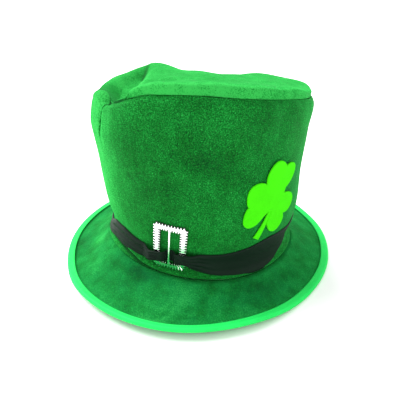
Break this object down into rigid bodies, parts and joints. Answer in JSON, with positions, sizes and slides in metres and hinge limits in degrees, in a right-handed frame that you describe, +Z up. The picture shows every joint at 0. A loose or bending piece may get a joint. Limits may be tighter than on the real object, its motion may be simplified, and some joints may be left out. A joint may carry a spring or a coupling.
{
  "type": "leprechaun hat",
  "caption": "Tall soft top hat of crushed green velour with a bound brim, a satin band threaded through a silver slide buckle and a felt shamrock, open below for the head.",
  "frame": {"origin": "on the floor under the middle of the brim, where the hat rests by itself", "axes": "+Z up through the crown, -Y the front with the buckle, +X the wearer's left, which is the right of the picture"},
  "size_m": [0.297, 0.3076, 0.2019],
  "materials": {
    "velour": "crushed velour with a patchy nap, foam backed",
    "binding_tape": "folded bias tape, smooth with a faint diagonal rib",
    "satin": "black-green satin ribbon, soft gloss",
    "buckle_silver": "bright silvered face with fine facets, sawtooth edges",
    "felt": "lime craft felt, matte and finely fuzzy"
  },
  "bodies": {
    "root": {"crown_side": "velour", "crown_tip": "velour", "brim": "velour", "brim_binding": "binding_tape", "hat_band": "satin", "buckle": "buckle_silver", "shamrock": "felt"}
  },
  "joints": []
}
